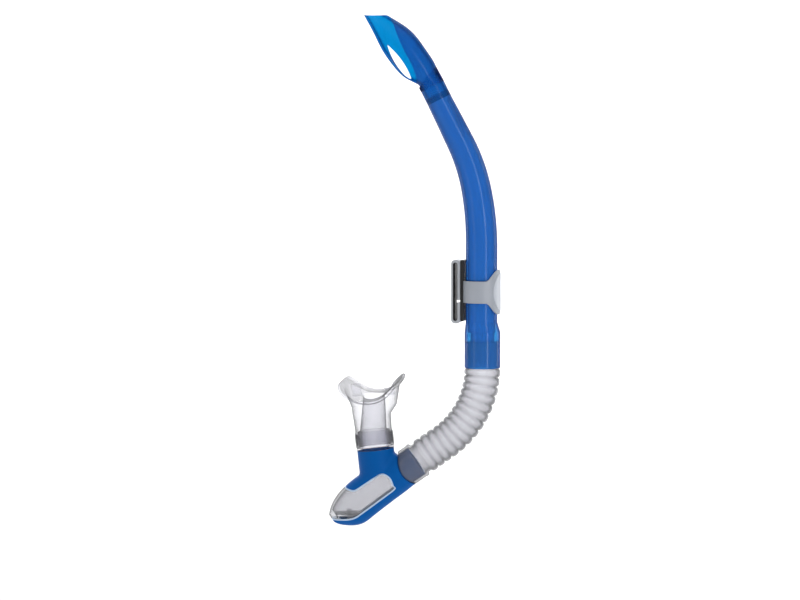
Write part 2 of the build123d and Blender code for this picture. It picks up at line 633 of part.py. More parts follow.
with BuildPart() as mouthpiece:
    loft(
        [
            oval(MOUTH_NECK.offset(CUFF_START + CUFF_H), CUFF_SKIN_R, CUFF_SKIN_R),
            oval(MOUTH_NECK.offset(22), 15.4, 13.4),
            oval(MOUTH_NECK.offset(30), 16.0, 11.8),
            oval(FLANGE.offset(0.9), 17.0, 10.4),
        ]
    )
    with BuildSketch(NECK.offset(CUFF_START)):
        Circle(CUFF_SKIN_R)
    extrude(amount=CUFF_H)
    add(flange.part)
    with BuildSketch(FLANGE):
        with Locations((-(TAB_IN + TAB_OUT) / 2, 0), ((TAB_IN + TAB_OUT) / 2, 0)):
            RectangleRounded(TAB_OUT - TAB_IN, 2 * TAB_HALF_D, TAB_ROUND)
    extrude(amount=TAB_TOP)
    add(airway.part, mode=Mode.SUBTRACT)
    with BuildSketch(NECK.offset(CUFF_START)):
        Circle(ADAPTER_TOP_R)
    extrude(amount=ADAPTER_TOP_H, mode=Mode.SUBTRACT)
mouthpiece.part.label = "mouthpiece"
export_step(mouthpiece.part, "parts/mouthpiece.step")

with BuildPart() as mouthpiece_clamp:
    with BuildSketch(NECK.offset(CLAMP_START)):
        Circle(CLAMP_R)
        Circle(CUFF_SKIN_R, mode=Mode.SUBTRACT)
    extrude(amount=CLAMP_H)
    for groove in CLAMP_GROOVES:
        with BuildSketch(NECK.offset(CLAMP_START + groove - GROOVE_W / 2)):
            Circle(CLAMP_R)
            Circle(CLAMP_R - GROOVE_DEPTH, mode=Mode.SUBTRACT)
        extrude(amount=GROOVE_W, mode=Mode.SUBTRACT)
mouthpiece_clamp.part.label = "mouthpiece_clamp"
export_step(mouthpiece_clamp.part, "parts/mouthpiece_clamp.step")
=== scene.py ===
from math import acos, cos, pi, radians, sin, sqrt

import bmesh
import bpy
from mathutils import Matrix, Vector


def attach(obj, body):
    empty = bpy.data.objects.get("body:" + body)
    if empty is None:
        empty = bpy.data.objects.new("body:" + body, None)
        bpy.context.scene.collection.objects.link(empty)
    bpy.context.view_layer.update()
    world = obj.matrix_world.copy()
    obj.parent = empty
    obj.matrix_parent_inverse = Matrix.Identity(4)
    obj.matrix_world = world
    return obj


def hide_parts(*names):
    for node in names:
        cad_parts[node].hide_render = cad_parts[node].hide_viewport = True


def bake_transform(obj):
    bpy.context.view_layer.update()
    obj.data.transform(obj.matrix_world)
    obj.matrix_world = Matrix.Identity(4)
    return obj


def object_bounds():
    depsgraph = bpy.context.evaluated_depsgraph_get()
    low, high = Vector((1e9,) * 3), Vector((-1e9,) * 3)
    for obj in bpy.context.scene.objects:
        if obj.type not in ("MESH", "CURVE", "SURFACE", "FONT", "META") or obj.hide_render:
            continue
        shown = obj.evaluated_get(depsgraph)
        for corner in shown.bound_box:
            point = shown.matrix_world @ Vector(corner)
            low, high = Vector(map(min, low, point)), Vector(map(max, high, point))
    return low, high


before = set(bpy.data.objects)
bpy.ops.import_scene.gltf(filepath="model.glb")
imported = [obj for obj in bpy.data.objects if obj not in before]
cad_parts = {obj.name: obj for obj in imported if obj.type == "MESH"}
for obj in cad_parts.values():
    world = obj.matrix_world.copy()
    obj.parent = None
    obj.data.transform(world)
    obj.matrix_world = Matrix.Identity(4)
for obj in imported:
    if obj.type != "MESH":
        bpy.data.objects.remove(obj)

cad_low, cad_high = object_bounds()

MM = 0.001                    # shapes are worked out in millimetres, in the CAD model's frame


# ---------------------------------------------------------------- node helpers
class Nodes:
    """Short ways to add and join the nodes of one material."""

    def __init__(self, name):
        self.material = bpy.data.materials.new(name)
        self.material.use_nodes = True
        self.tree = self.material.node_tree
        self.tree.nodes.clear()
        self.output = self.add("ShaderNodeOutputMaterial")

    def add(self, kind, **values):
        node = self.tree.nodes.new(kind)
        for key, value in values.items():
            setattr(node, key, value)
        return node

    def link(self, source, target):
        self.tree.links.new(source, target)

    def put(self, value, socket):
        """Links a socket into another, or sets a plain value on it."""
        if hasattr(value, "is_linked"):
            self.link(value, socket)
        elif isinstance(value, tuple) and len(value) == 3 and socket.type == "RGBA":
            socket.default_value = (*value, 1)
        else:
            socket.default_value = value

    def finish(self, shader):
        self.link(shader, self.output.inputs["Surface"])
        return self.material

    def coordinates(self, scale=(1, 1, 1)):
        """Object coordinates in metres, stretched."""
        place = self.add("ShaderNodeTexCoord")
        mapping = self.add("ShaderNodeMapping")
        mapping.inputs["Scale"].default_value = scale
        self.link(place.outputs["Object"], mapping.inputs["Vector"])
        return mapping.outputs["Vector"]

    def noise(self, scale, detail=3.0, stretch=(1, 1, 1)):
        node = self.add("ShaderNodeTexNoise")
        node.inputs["Scale"].default_value = scale
        node.inputs["Detail"].default_value = detail
        self.link(self.coordinates(stretch), node.inputs["Vector"])
        return node.outputs["Fac"]

    def ramp(self, factor, stops):
        """Colour ramp through (position, colour) stops."""
        node = self.add("ShaderNodeValToRGB")
        for index, (position, colour) in enumerate(stops):
            if index < 2:
                stop = node.color_ramp.elements[index]
                stop.position = position
            else:
                stop = node.color_ramp.elements.new(position)
            stop.color = (*colour, 1)
        self.link(factor, node.inputs["Fac"])
        return node.outputs["Color"]

    def range(self, factor, low, high):
        """Maps 0..1 to low..high."""
        node = self.add("ShaderNodeMapRange")
        node.inputs["To Min"].default_value = low
        node.inputs["To Max"].default_value = high
        self.link(factor, node.inputs["Value"])
        return node.outputs["Result"]

    def plus(self, first, second):
        node = self.add("ShaderNodeMath", operation="ADD")
        self.link(first, node.inputs[0])
        self.link(second, node.inputs[1])
        return node.outputs["Value"]

    def bump(self, height, strength, distance):
        node = self.add("ShaderNodeBump")
        node.inputs["Strength"].default_value = strength
        node.inputs["Distance"].default_value = distance
        self.link(height, node.inputs["Height"])
        return node.outputs["Normal"]

    def principled(self, colour, roughness, **sockets):
        """Principled shader. Links go in for sockets, and plain values are set."""
        node = self.add("ShaderNodeBsdfPrincipled")
        for name, value in {"Base Color": colour, "Roughness": roughness, **sockets}.items():
            self.put(value, node.inputs[name])
        return node.outputs["BSDF"]

    def clear(self, colour):
        """Lets through what is behind, tinted."""
        node = self.add("ShaderNodeBsdfTransparent")
        self.put(colour, node.inputs["Color"])
        return node.outputs["BSDF"]

    def mix(self, factor, first, second):
        node = self.add("ShaderNodeMixShader")
        self.put(factor, node.inputs["Fac"])
        self.link(first, node.inputs[1])
        self.link(second, node.inputs[2])
        return node.outputs["Shader"]

    def facing(self):
        """0 where the surface faces the eye and 1 at its limb."""
        node = self.add("ShaderNodeLayerWeight")
        node.inputs["Blend"].default_value = 0.5
        return node.outputs["Facing"]


# ---------------------------------------------------------------- materials
LIMB_SHADE = (0.4, 0.3, 0.55)         # what is left of a tinted body's colour where its wall is seen aslant
SLANTS = (0.0, 0.35, 0.7, 1.0)        # from a clear wall seen square to one seen edge on


def tinted_plastic(name, body, tint, limb_tint, share, roughness=0.14):
    """See-through coloured plastic: a coloured body over a tint, both deeper where the wall is seen aslant.

    share is how much of the light goes straight through.
    """
    n = Nodes(name)
    flow = n.noise(55, 4, (1, 1, 0.25))
    slant = n.plus(n.facing(), n.range(flow, -0.06, 0.06))
    bright_body = tuple(c * 1.1 for c in body)
    limb_body = tuple(c * shade for c, shade in zip(body, LIMB_SHADE))
    skin = n.principled(
        n.ramp(slant, [(0.0, bright_body), (0.3, body), (0.75, limb_body)]),
        n.range(flow, roughness * 0.7, roughness * 1.5),
        Normal=n.bump(flow, 0.08, 0.0004),
        **{"IOR": 1.46, "Specular IOR Level": 0.3},
    )
    see_through = n.clear(n.ramp(slant, [(0.0, tint), (0.35, tint), (0.8, limb_tint)]))
    return n.finish(n.mix(share, skin, see_through))


def clear_plastic(name, tints_and_edge_shade, share, haze_and_shade=0.6, roughness=0.12, gloss=0.5):
    """Clear plastic or silicone: a grey body over grey tints, one for each of SLANTS. The grey is partly the
    material's own milky haze and partly painted shade for the dark surroundings a clear wall shows. The
    tints darken towards edge on as painted shade along the edges.

    share is how much of the light goes straight through.
    """
    n = Nodes(name)
    flow = n.noise(90, 4)
    # the body's grey: partly the material's own haze, partly painted shade
    milk_and_shade = (haze_and_shade, haze_and_shade * 1.01, haze_and_shade * 1.03)
    bright_milk_and_shade = tuple(min(1, c * 1.12) for c in milk_and_shade)
    skin = n.principled(
        n.ramp(flow, [(0.3, milk_and_shade), (0.75, bright_milk_and_shade)]),
        n.range(flow, roughness * 0.7, roughness * 1.6),
        Normal=n.bump(flow, 0.15, 0.0005),
        **{"IOR": 1.45, "Specular IOR Level": gloss},
    )
    # tints that fall from clear at a square wall to dark at an edge-on wall: painted edge shade
    stops = [(slant, (grey, grey, min(1, grey * 1.02))) for slant, grey in zip(SLANTS, tints_and_edge_shade)]
    see_through = n.clear(n.ramp(n.facing(), stops))
    return n.finish(n.mix(share, skin, see_through))


def solid_plastic(name, colour, worn, roughness, gloss=0.45):
    """Opaque moulded plastic or rubber with a fine grain and slight colour variation."""
    n = Nodes(name)
    patch = n.noise(28, 3)
    grain = n.noise(3500, 2)
    skin = n.principled(
        n.ramp(patch, [(0.35, colour), (0.7, worn)]),
        n.range(patch, roughness * 0.85, roughness * 1.2),
        Normal=n.bump(grain, 0.25, 0.00006),
        **{"IOR": 1.48, "Specular IOR Level": gloss},
    )
    return n.finish(skin)


BLUE_BODY = (0.04, 0.2, 0.58)
BLUE_TINT = (0.2, 0.62, 0.92)
BLUE_LIMB = (0.015, 0.05, 0.3)
GUARD_BODY = (0.02, 0.17, 0.46)
GUARD_TINT = (0.03, 0.56, 0.84)

MATERIALS = {
    "barrel": tinted_plastic("blue_clear", BLUE_BODY, BLUE_TINT, BLUE_LIMB, share=0.55),
    "splash_guard": tinted_plastic("guard_clear", GUARD_BODY, GUARD_TINT, BLUE_LIMB, share=0.7),
    "hose_collar": tinted_plastic("collar_clear", BLUE_BODY, BLUE_TINT, BLUE_LIMB, share=0.5),
    # in the clear_plastic entries the tints fall towards edge on as painted edge shade, and the haze is
    # partly painted shade
    "flex_hose": clear_plastic("hose_silicone", (0.94, 0.85, 0.6, 0.2), share=0.82, haze_and_shade=0.36,
                               roughness=0.16, gloss=0.8),
    "keeper_sleeve": solid_plastic("sleeve_rubber", (0.012, 0.012, 0.014), (0.02, 0.02, 0.022), 0.6),
    "keeper_band": solid_plastic("keeper_grey", (0.33, 0.355, 0.4), (0.37, 0.395, 0.445), 0.36),
    "keeper_pad": solid_plastic("pad_grey", (0.5, 0.53, 0.59), (0.55, 0.58, 0.64), 0.28),
    "strap_buckle": solid_plastic("buckle_grey", (0.38, 0.4, 0.43), (0.43, 0.45, 0.48), 0.3),
    "buckle_body": solid_plastic("buckle_rubber", (0.01, 0.01, 0.012), (0.018, 0.018, 0.02), 0.5),
    "chamber_shell": solid_plastic("chamber_blue", (0.0, 0.088, 0.34), (0.0, 0.094, 0.36), 0.5, gloss=0.08),
    "purge_cover": clear_plastic("cover_clear", (0.93, 0.86, 0.5, 0.2), share=0.8, haze_and_shade=0.45, roughness=0.1),
    "cover_seal": solid_plastic("seal_pale", (0.42, 0.55, 0.72), (0.47, 0.6, 0.76), 0.35),
    "purge_seat": clear_plastic("seat_white", (0.86, 0.76, 0.5, 0.35), share=0.72, haze_and_shade=0.4),
    "purge_membrane": clear_plastic("membrane_silicone", (0.9, 0.8, 0.6, 0.4), share=0.7),
    "mouthpiece_adapter": clear_plastic("adapter_clear", (0.99, 0.98, 0.78, 0.35), share=0.98, haze_and_shade=0.5,
                                        roughness=0.08),
    "mouthpiece": clear_plastic("mouth_silicone", (0.96, 0.86, 0.48, 0.04), share=0.84, haze_and_shade=0.42,
                                roughness=0.1),
    "mouthpiece_clamp": clear_plastic("clamp_clear", (0.99, 0.98, 0.6, 0.22), share=0.98, haze_and_shade=0.5,
                                      roughness=0.08),
}

for node, material in MATERIALS.items():
    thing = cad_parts[node]
    thing.data.materials.clear()
    thing.data.materials.append(material)
    for polygon in thing.data.polygons:
        polygon.use_smooth = True


# ---------------------------------------------------------------- shape helpers
def skin_mesh(name, rings, material, loop=True):
    """Closed skin through rings of points (millimetres). With loop, the last ring joins the first."""
    mesh = bmesh.new()
    grid = [[mesh.verts.new(Vector(point) * MM) for point in ring] for ring in rings]
    pairs = list(zip(grid, grid[1:]))
    if loop:
        pairs.append((grid[-1], grid[0]))
    count = len(grid[0])
    for low, high in pairs:
        for i in range(count):
            j = (i + 1) % count
            mesh.faces.new((low[i], low[j], high[j], high[i])).smooth = True
    if not loop:
        mesh.faces.new(grid[0])
        mesh.faces.new(grid[-1])
    bmesh.ops.recalc_face_normals(mesh, faces=mesh.faces)
    data = bpy.data.meshes.new(name)
    mesh.to_mesh(data)
    mesh.free()
    data.materials.append(material)
    thing = bpy.data.objects.new(name, data)
    bpy.context.scene.collection.objects.link(thing)
    return thing


def between(first, last, share):
    return first + (last - first) * share


def circle_angles(sides):
    return [2 * pi * i / sides for i in range(sides)]


def arc_points(cx, cy, radius, first, last, steps):
    """Points of an arc, by angle in degrees."""
    angles = [radians(between(first, last, s / steps)) for s in range(steps + 1)]
    return [(cx + radius * cos(a), cy + radius * sin(a)) for a in angles]


def rounded_box(left, right, low, high, radius, steps):
    """Outline of a box with round corners, from its right side by way of its top."""
    corners = ((right - radius, high - radius), (left + radius, high - radius),
               (left + radius, low + radius), (right - radius, low + radius))
    outline = []
    for quarter, (x, y) in enumerate(corners):
        outline += arc_points(x, y, radius, 90 * quarter, 90 * quarter + 90, steps)
    return outline


def rounded(angle, half_w, half_d, square):
    """Point of a superellipse: square 2 is an ellipse, and more is boxier."""
    c, s = cos(angle), sin(angle)
    u = half_w * (abs(c) ** (2 / square)) * (1 if c >= 0 else -1)
    v = half_d * (abs(s) ** (2 / square)) * (1 if s >= 0 else -1)
    return u, v


# ---------------------------------------------------------------- corrugated hose
# A place along the hose is its run: millimetres down the middle line from the collar's lower edge.
HOSE_X, COLLAR_Z, SEAM_Z = 0.8, -61.2, -40.4                    # SEAM_Z is where barrel and collar meet
HOSE_BEND_R, HOSE_BEND_DEG, HOSE_RUN = 72.8, 55.0, 35.4
HOSE_ARC = HOSE_BEND_R * radians(HOSE_BEND_DEG)
HOSE_LENGTH = HOSE_ARC + HOSE_RUN
HOSE_SIDES = 96
TOP_CUFF_START, TOP_CUFF_END = COLLAR_Z - SEAM_Z, -0.4          # the plain cuff inside the collar
TOP_CUFF_R, TOP_EDGE_R = 12.86, 12.0
END_CUFF_R, END_CUFF_LENGTH = 15.0, 11.5                        # the plain cuff on the chamber's spigot
END_CUFF_START, END_CUFF_END = HOSE_LENGTH - END_CUFF_LENGTH, HOSE_LENGTH - 0.2
RING_COUNT, FIRST_RING = 14, 3.3                                # FIRST_RING is the first ring's middle
RING_PITCH = (HOSE_LENGTH - END_CUFF_LENGTH - FIRST_RING) / RING_COUNT
RING_R, GROOVE_R, RING_HALF_W = 14.5, 12.7, 3.08
RING_STEPS, RING_FLATNESS, RING_FULLNESS = 12, 2.8, 0.6         # the last two round the rings' tops
HOSE_WALL = 1.2                                                 # the bore follows the rings at this distance
TOP_BORE_R, END_BORE_R = 11.25, 12.8
SPIGOT_RUN, BORE_INSET = 10.1, 2.4                              # the chamber's spigot, with its clearance
SCALLOP_ALONG, SCALLOP_RISE, SCALLOP_R = -14.6, -2.3, 21.0      # curved seam between cuff and chamber
SEAM_GAP, LIP_LENGTH = 0.3, 6.0


def hose_frame(run):
    """Centre of the hose and its direction, run mm below the collar."""
    turned = min(max(run, 0) / HOSE_BEND_R, radians(HOSE_BEND_DEG))
    beyond = max(run - HOSE_ARC, 0)
    x = HOSE_X - HOSE_BEND_R * (1 - cos(turned)) - beyond * sin(turned)
    z = COLLAR_Z - HOSE_BEND_R * sin(turned) - beyond * cos(turned) - min(run, 0)
    return Vector((x, 0, z)), turned


def seam_reach(rise):
    """How far the curved seam between cuff and chamber stands past the hose's end."""
    return max(0, SCALLOP_ALONG + sqrt(SCALLOP_R**2 - (rise - SCALLOP_RISE) ** 2) - SEAM_GAP)


def hose_ring(run, radius):
    """Ring round the hose. Near the chamber it bends towards the curved seam."""
    centre, turned = hose_frame(run)
    side = Vector((cos(turned), 0, -sin(turned)))
    onward = Vector((-sin(turned), 0, -cos(turned)))
    depth = Vector((0, 1, 0))
    curve = min(max((run - HOSE_LENGTH + LIP_LENGTH) / LIP_LENGTH, 0), 1)
    ring = []
    for a in circle_angles(HOSE_SIDES):
        reach = curve * seam_reach(-radius * cos(a))
        ring.append(centre + side * (radius * cos(a)) + depth * (radius * sin(a)) + onward * reach)
    return ring


def corrugation(middle):
    """Outer radius over one ring: a round top between two grooves."""
    profile = []
    for step in range(RING_STEPS + 1):
        t = 2 * step / RING_STEPS - 1
        lift = (1 - abs(t) ** RING_FLATNESS) ** RING_FULLNESS
        profile.append((middle + RING_HALF_W * t, GROOVE_R + (RING_R - GROOVE_R) * lift))
    return profile


def hose_outline():
    """Outer radius along the hose: a plain top cuff, rounded rings and a plain bottom cuff."""
    outline = [(TOP_CUFF_START + 0.2, TOP_EDGE_R), (TOP_CUFF_START + 0.25, TOP_CUFF_R)]
    outline.append((TOP_CUFF_END, TOP_CUFF_R))
    for ring in range(RING_COUNT):
        outline += corrugation(FIRST_RING + RING_PITCH * ring)
    start, end, bead_r, plain_r = END_CUFF_START, END_CUFF_END, END_CUFF_R, END_CUFF_R - 0.35
    outline += [(start - 0.6, GROOVE_R), (start, bead_r - 0.9), (start + 0.3, bead_r - 0.3)]
    outline += [(start + 0.9, bead_r), (start + 2.2, bead_r), (start + 2.5, plain_r), (start + 2.9, plain_r)]
    outline += [(end - 1.0, plain_r), (end - 0.3, bead_r - 0.55), (end, bead_r - 1.2)]
    return outline


def corrugated_hose():
    """Hose skin: down its outside, round its end and back up its bore."""
    outer = hose_outline()
    spigot = HOSE_LENGTH - SPIGOT_RUN
    inner = [(END_CUFF_END, END_BORE_R), (spigot, END_BORE_R), (spigot - 0.4, GROOVE_R - HOSE_WALL)]
    inner += [(run, radius - HOSE_WALL) for run, radius in outer[::-1] if 0 < run < spigot - BORE_INSET]
    inner += [(-0.2, TOP_BORE_R), (outer[0][0], TOP_BORE_R)]
    rings = [hose_ring(run, radius) for run, radius in outer + inner]
    hose = skin_mesh("hose_bellows", rings, MATERIALS["flex_hose"])
    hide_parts("flex_hose")
    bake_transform(hose)


corrugated_hose()


# ---------------------------------------------------------------- mouthpiece
# A height on the neck is measured along it, up from the chamber's branch. The neck leans to the left,
# and is turned about its own length as far as the flange is.
NECK_X, NECK_Z, NECK_LEAN = -84.8, -126.8, 6.0
BORE_START, BORE_DEPTH, BORE_R = 2.3, 13.0, 12.95               # the cuff's bore, round the adapter
SHELF_R, THROAT_R = 10.8, 10.6
CUFF_SKIN_R, CUFF_BEAD_R, CUFF_LIP_R = 14.7, 15.15, 15.3
MOUTH_YAW, FLANGE_UP, FLANGE_TILT, FLANGE_ROLL = -20.0, 41.4, 15.0, 4.5
FLANGE_HALF_W, FLANGE_HALF_D = 30.3, 16.6                       # width along the bent plate
FLANGE_BEND_R, FLANGE_THICK = 26.5, 1.9
FLANGE_SHIFT, SKIRT_SHIFT = 3.5, 2.6
LOBE = 0.16                   # how much deeper the flange is at its ends than at its middle
AIRWAY_HALF_W, AIRWAY_HALF_D = 8.8, 6.6
RIM_BEAD = 1.4                # radius of the rounded rim, a little thicker than the plate
OVAL, BOXY = 2, 4             # the plate's outline goes from oval at the airway to boxy at the rim
UNDER_HALF_W, UNDER_HALF_D = 25.0, 12.8                         # where the skirt leaves the under face
MOUTH_ANGLES = circle_angles(128)

# outside of the neck below its skirt, as (height, half width, half depth)
NECK_OUTLINE = ((26, 15.6, 12.6), (22, 15.2, 13.4), (18.5, 14.9, 14.1), (15.6, 14.7, 14.6))
# outside of the cuff: a bead, the plain skin and a lip at its foot, as (height, radius)
CUFF_OUTLINE = ((14.6, 14.9), (14.2, CUFF_BEAD_R), (13.8, CUFF_BEAD_R), (13.5, CUFF_SKIN_R),
                (4.3, CUFF_SKIN_R), (4.0, CUFF_LIP_R), (3.0, CUFF_LIP_R), (BORE_START, 15.0))

# directions of the neck, then of the flange: along its width, across it and out of its upper face
LEAN = radians(NECK_LEAN)
NECK_UP = Vector((-sin(LEAN), 0, cos(LEAN)))
TURN, TILT = radians(MOUTH_YAW), radians(FLANGE_TILT)
NECK_TURN = Matrix.Rotation(TURN, 3, NECK_UP)
NECK_ACROSS = NECK_TURN @ Vector((cos(LEAN), 0, sin(LEAN)))
NECK_DEPTH = NECK_TURN @ Vector((0, 1, 0))
FLANGE_CENTRE = Vector((NECK_X, 0, NECK_Z)) + NECK_UP * FLANGE_UP + Vector((FLANGE_SHIFT, 0, 0))
ROLL = radians(FLANGE_ROLL)
FLANGE_WAY = Vector((cos(TURN) * cos(ROLL), sin(TURN) * cos(ROLL), sin(ROLL)))
FLANGE_DEPTH_WAY = Vector((-sin(TURN), cos(TURN), 0))
FLANGE_FACING = FLANGE_WAY.cross(FLANGE_DEPTH_WAY) * cos(TILT) - FLANGE_DEPTH_WAY * sin(TILT)
FLANGE_SIDE = FLANGE_FACING.cross(FLANGE_WAY)


def neck_ring(up, half_w, half_d):
    """Oval ring round the neck at a height."""
    centre = Vector((NECK_X, 0, NECK_Z)) + NECK_UP * up
    return [centre + NECK_ACROSS * (half_w * cos(a)) + NECK_DEPTH * (half_d * sin(a)) for a in MOUTH_ANGLES]


def flange_point(u, v, drop):
    """Point of the flange: u along the bent plate, v across it, and drop down from its upper face."""
    turned = u / FLANGE_BEND_R
    lift = FLANGE_BEND_R * (1 - cos(turned)) + FLANGE_THICK - drop * cos(turned)
    across = FLANGE_BEND_R * sin(turned) + drop * sin(turned)
    return FLANGE_CENTRE + FLANGE_WAY * across + FLANGE_SIDE * v + FLANGE_FACING * lift


def flange_ring(half_w, half_d, drop, square=OVAL):
    """Ring on the bent flange, a little deeper towards its two ends."""
    ring = []
    for a in MOUTH_ANGLES:
        u, v = rounded(a, half_w, half_d, square)
        v *= 1 + LOBE * (u / FLANGE_HALF_W) ** 2
        ring.append(flange_point(u, v, drop))
    return ring


def blend_rings(first, last, share):
    return [a.lerp(b, share) for a, b in zip(first, last)]


def airway_rings():
    """Up the cuff's bore, over its shelf and through the airway, which turns from round to oval."""
    top, steps = BORE_START + BORE_DEPTH, 8
    rings = [neck_ring(BORE_START, BORE_R, BORE_R), neck_ring(top, BORE_R, BORE_R)]
    rings.append(neck_ring(top + 0.1, SHELF_R, SHELF_R))
    throat = neck_ring(top + 2, THROAT_R, THROAT_R)
    mouth = flange_ring(AIRWAY_HALF_W, AIRWAY_HALF_D, 1.2)
    return rings + [blend_rings(throat, mouth, step / steps) for step in range(steps + 1)]


def face_rings():
    """Over the soft lip round the airway and out along the upper face."""
    rings = []
    for out, drop in ((0.1, 0.6), (0.5, 0.1)):
        rings.append(flange_ring(AIRWAY_HALF_W + out, AIRWAY_HALF_D + out, drop))
    steps, lip, inset = 12, 1, 1.6
    for step in range(1, steps + 1):
        share = step / steps
        half_w = between(AIRWAY_HALF_W + lip, FLANGE_HALF_W - inset, share)
        half_d = between(AIRWAY_HALF_D + lip, FLANGE_HALF_D - inset, share)
        rings.append(flange_ring(half_w, half_d, 0.15 * share, between(OVAL, BOXY, share)))
    return rings


def rim_rings():
    """Round the flange's rim."""
    rings = []
    for u, v in arc_points(0, 0, RIM_BEAD, 60, -90, 8):
        out = u - 0.2 - RIM_BEAD
        rings.append(flange_ring(FLANGE_HALF_W + out, FLANGE_HALF_D + out, FLANGE_THICK / 2 - v, BOXY))
    return rings


def under_rings():
    """Back along the under face and down the skirt, which narrows into the neck."""
    rings = []
    steps, inset, skirt_square = 8, 2.6, 2.4
    for step in range(steps + 1):
        share = step / steps
        half_w = between(FLANGE_HALF_W - inset, UNDER_HALF_W, share)
        half_d = between(FLANGE_HALF_D - inset, UNDER_HALF_D, share)
        rings.append(flange_ring(half_w, half_d, FLANGE_THICK, between(BOXY, skirt_square, share)))
    under = rings[-1]
    skirt = [point + Vector((SKIRT_SHIFT, 0, 0)) for point in neck_ring(35.2, 19.0, 12.6)]
    lower = neck_ring(28.2, 16.0, 12.2)
    rings += [blend_rings(under, skirt, share) for share in (0.15, 0.4, 0.7, 0.9)]
    return rings + [skirt, blend_rings(skirt, lower, 0.45), lower]


def mouthpiece():
    """Mouthpiece skin: up through its airway, over the flange and down its outside."""
    rings = airway_rings() + face_rings() + rim_rings() + under_rings()
    rings += [neck_ring(up, half_w, half_d) for up, half_w, half_d in NECK_OUTLINE]
    rings += [neck_ring(up, radius, radius) for up, radius in CUFF_OUTLINE]
    body = skin_mesh("mouthpiece_body", rings, MATERIALS["mouthpiece"])
    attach(body, "mouth")
    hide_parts("mouthpiece")


TAB_MIDDLE, TAB_HALF_W, TAB_SIDES, TAB_SQUARE = 14.3, 4.1, 40, 3.0
# (height above the flange's centre, share of the width, half depth), up the stalk and over the nub
TAB_SECTIONS = ((3.0, 0.98, 2.3), (4.4, 0.9, 1.5), (6, 0.88, 1.35), (7.8, 0.92, 1.6), (9.2, 1.0, 2.3),
                (10.6, 1.0, 2.5), (11.8, 0.97, 2.2), (12.4, 0.9, 1.5), (12.6, 0.75, 0.7))
# the tab's tints fall towards edge on as painted edge shade, and its haze is partly painted shade
TAB_MATERIAL = clear_plastic("tab_silicone", (0.99, 0.97, 0.8, 0.5), share=0.97, haze_and_shade=0.5, roughness=0.1)


def bite_tab(name, side):
    """Bite tab: a stalk off the flange that widens into a rounded nub."""
    rings = []
    for up, wide, half_d in TAB_SECTIONS:
        ring = []
        for a in circle_angles(TAB_SIDES):
            u, v = rounded(a, TAB_HALF_W * wide, half_d, TAB_SQUARE)
            way = FLANGE_WAY * (side * TAB_MIDDLE + u)
            ring.append(FLANGE_CENTRE + way + FLANGE_SIDE * v + FLANGE_FACING * up)
        rings.append(ring)
    tab = skin_mesh(name, rings, TAB_MATERIAL, loop=False)
    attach(tab, "mouth")


mouthpiece()
bite_tab("bite_tab_left", -1)
bite_tab("bite_tab_right", 1)


# ---------------------------------------------------------------- cuff between barrel and splash guard
# the skin's left and right side, each as its lower end and its upper end
WAIST_LEFT = (Vector((-48.4, 0, 159.1)), Vector((-50.1, 0, 162.4)))
WAIST_RIGHT = (Vector((-30.1, 0, 168.3)), Vector((-36.2, 0, 179.4)))
WAIST_HALF_D, WAIST_WALL = (12.15, 13.3), 0.7
WAIST_ANGLES = circle_angles(128)
CUFF_TINT = (0.82, 0.94, 0.99)


def guard_cuff():
    """Smooth skin over the waist where the hood's sleeve meets the hood."""
    steps = 8
    outer, inner = [], []
    for step in range(steps + 1):
        share = step / steps
        left = WAIST_LEFT[0].lerp(WAIST_LEFT[1], share)
        right = WAIST_RIGHT[0].lerp(WAIST_RIGHT[1], share)
        half_d = between(*WAIST_HALF_D, share)
        centre, half = (left + right) / 2, (right - left) / 2
        thin = 1 - WAIST_WALL / half.length
        for rings, scale, d in ((outer, 1, half_d), (inner, thin, half_d - WAIST_WALL)):
            ring = [half * (scale * cos(a)) + Vector((0, d * sin(a), 0)) for a in WAIST_ANGLES]
            rings.append([centre + point for point in ring])
    material = tinted_plastic("cuff_tint", GUARD_BODY, CUFF_TINT, BLUE_LIMB, share=0.95)
    cuff = skin_mesh("guard_cuff", outer + inner[::-1], material)
    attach(cuff, "tube")


guard_cuff()


# ---------------------------------------------------------------- tongue on the barrel
BARREL_TOP = Vector((-33.86, 0, 152.95))
BARREL_UP, BARREL_ACROSS = Vector((-0.4478, 0, 0.8942)), Vector((0.8942, 0, 0.4478))
TOP_RX, TOP_RY = 10.1, 12.0                       # the barrel is oval there
TONGUE_RUNS = (3.0, 36.0)                         # its start and end, down from the barrel's top
TONGUE_PLACE = (0.76, 0.5)                        # where it lies between the barrel's middle and its limb
TONGUE_HALF_W, TONGUE_LIFT, TONGUE_TIP = 1.7, 0.5, 0.12     # TONGUE_TIP is the share of its width at its tip
# (share of the half width, share of the lift)
TONGUE_SECTION = ((-1, -0.3), (-1, 0.1), (-0.8, 0.8), (-0.4, 1), (0.4, 1), (0.8, 0.8), (1, 0.1), (1, -0.3))


def barrel_tongue():
    """Slim raised tongue that narrows to a point, on the near side of the barrel's leaning stretch."""
    steps = 24
    rings = []
    for step in range(steps + 1):
        share = step / steps
        centre = BARREL_TOP - BARREL_UP * between(*TONGUE_RUNS, share)
        middle = acos(between(*TONGUE_PLACE, share))
        half = TONGUE_HALF_W * max(TONGUE_TIP, sqrt(1 - share**3))
        ring = []
        for wide, high in TONGUE_SECTION:
            a = middle + wide * half / TOP_RY
            normal = Vector((cos(a) / TOP_RX, sin(a) / TOP_RY, 0)).normalized() * (TONGUE_LIFT * high)
            across, near = TOP_RX * cos(a) + normal.x, TOP_RY * sin(a) + normal.y
            ring.append(centre + BARREL_ACROSS * across - Vector((0, near, 0)))
        rings.append(ring)
    tongue = skin_mesh("barrel_tongue", rings, MATERIALS["barrel"], loop=False)
    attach(tongue, "tube")


barrel_tongue()


